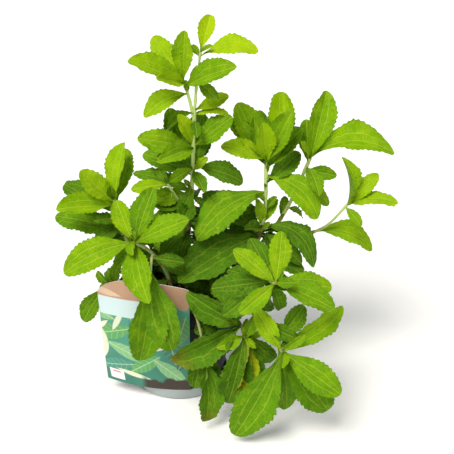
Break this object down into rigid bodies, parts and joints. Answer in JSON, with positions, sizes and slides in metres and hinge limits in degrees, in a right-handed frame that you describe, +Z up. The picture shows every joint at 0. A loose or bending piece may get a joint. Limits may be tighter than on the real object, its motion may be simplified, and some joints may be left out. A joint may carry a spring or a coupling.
{
  "type": "potted stevia plant",
  "caption": "Bushy young stevia herb with toothed leaves in opposite pairs, in a round nursery pot on a shallow saucer, with a curved printed card leaning on the pot.",
  "frame": {"origin": "on the ground, at the middle of the saucer's flat underside, on the pot's axis", "axes": "+Z up; -Y is the front, where the card stands; +X to the right seen from the front"},
  "size_m": [0.3201, 0.259, 0.3505],
  "materials": {
    "saucer_plastic": "light grey moulded polypropylene, satin",
    "pot_plastic": "charcoal moulded polypropylene, matt",
    "potting_soil": "dark moist peat with bark and white perlite; stands in for soil",
    "printed_card": "coated card with a soft sheen, printed with plain leaf shapes and bands",
    "leaf_green": "fresh, finely hairy leaves, yellow-green at the tips and deep green lower down; stands in for leaf and soft stem"
  },
  "bodies": {
    "root": {"saucer": "saucer_plastic", "pot": "pot_plastic", "soil": "potting_soil", "label_card": "printed_card", "tall_leafy_stem": "leaf_green", "left_far_leafy_stem": "leaf_green", "left_near_leafy_stem": "leaf_green", "right_leafy_stem": "leaf_green", "right_far_leafy_stem": "leaf_green", "front_leafy_stem": "leaf_green", "low_front_leafy_stem": "leaf_green", "low_left_leafy_stem": "leaf_green", "hanging_leafy_stem": "leaf_green", "left_low_leafy_stem": "leaf_green", "back_left_leafy_stem": "leaf_green", "back_leafy_stem": "leaf_green", "back_right_leafy_stem": "leaf_green"}
  },
  "joints": []
}
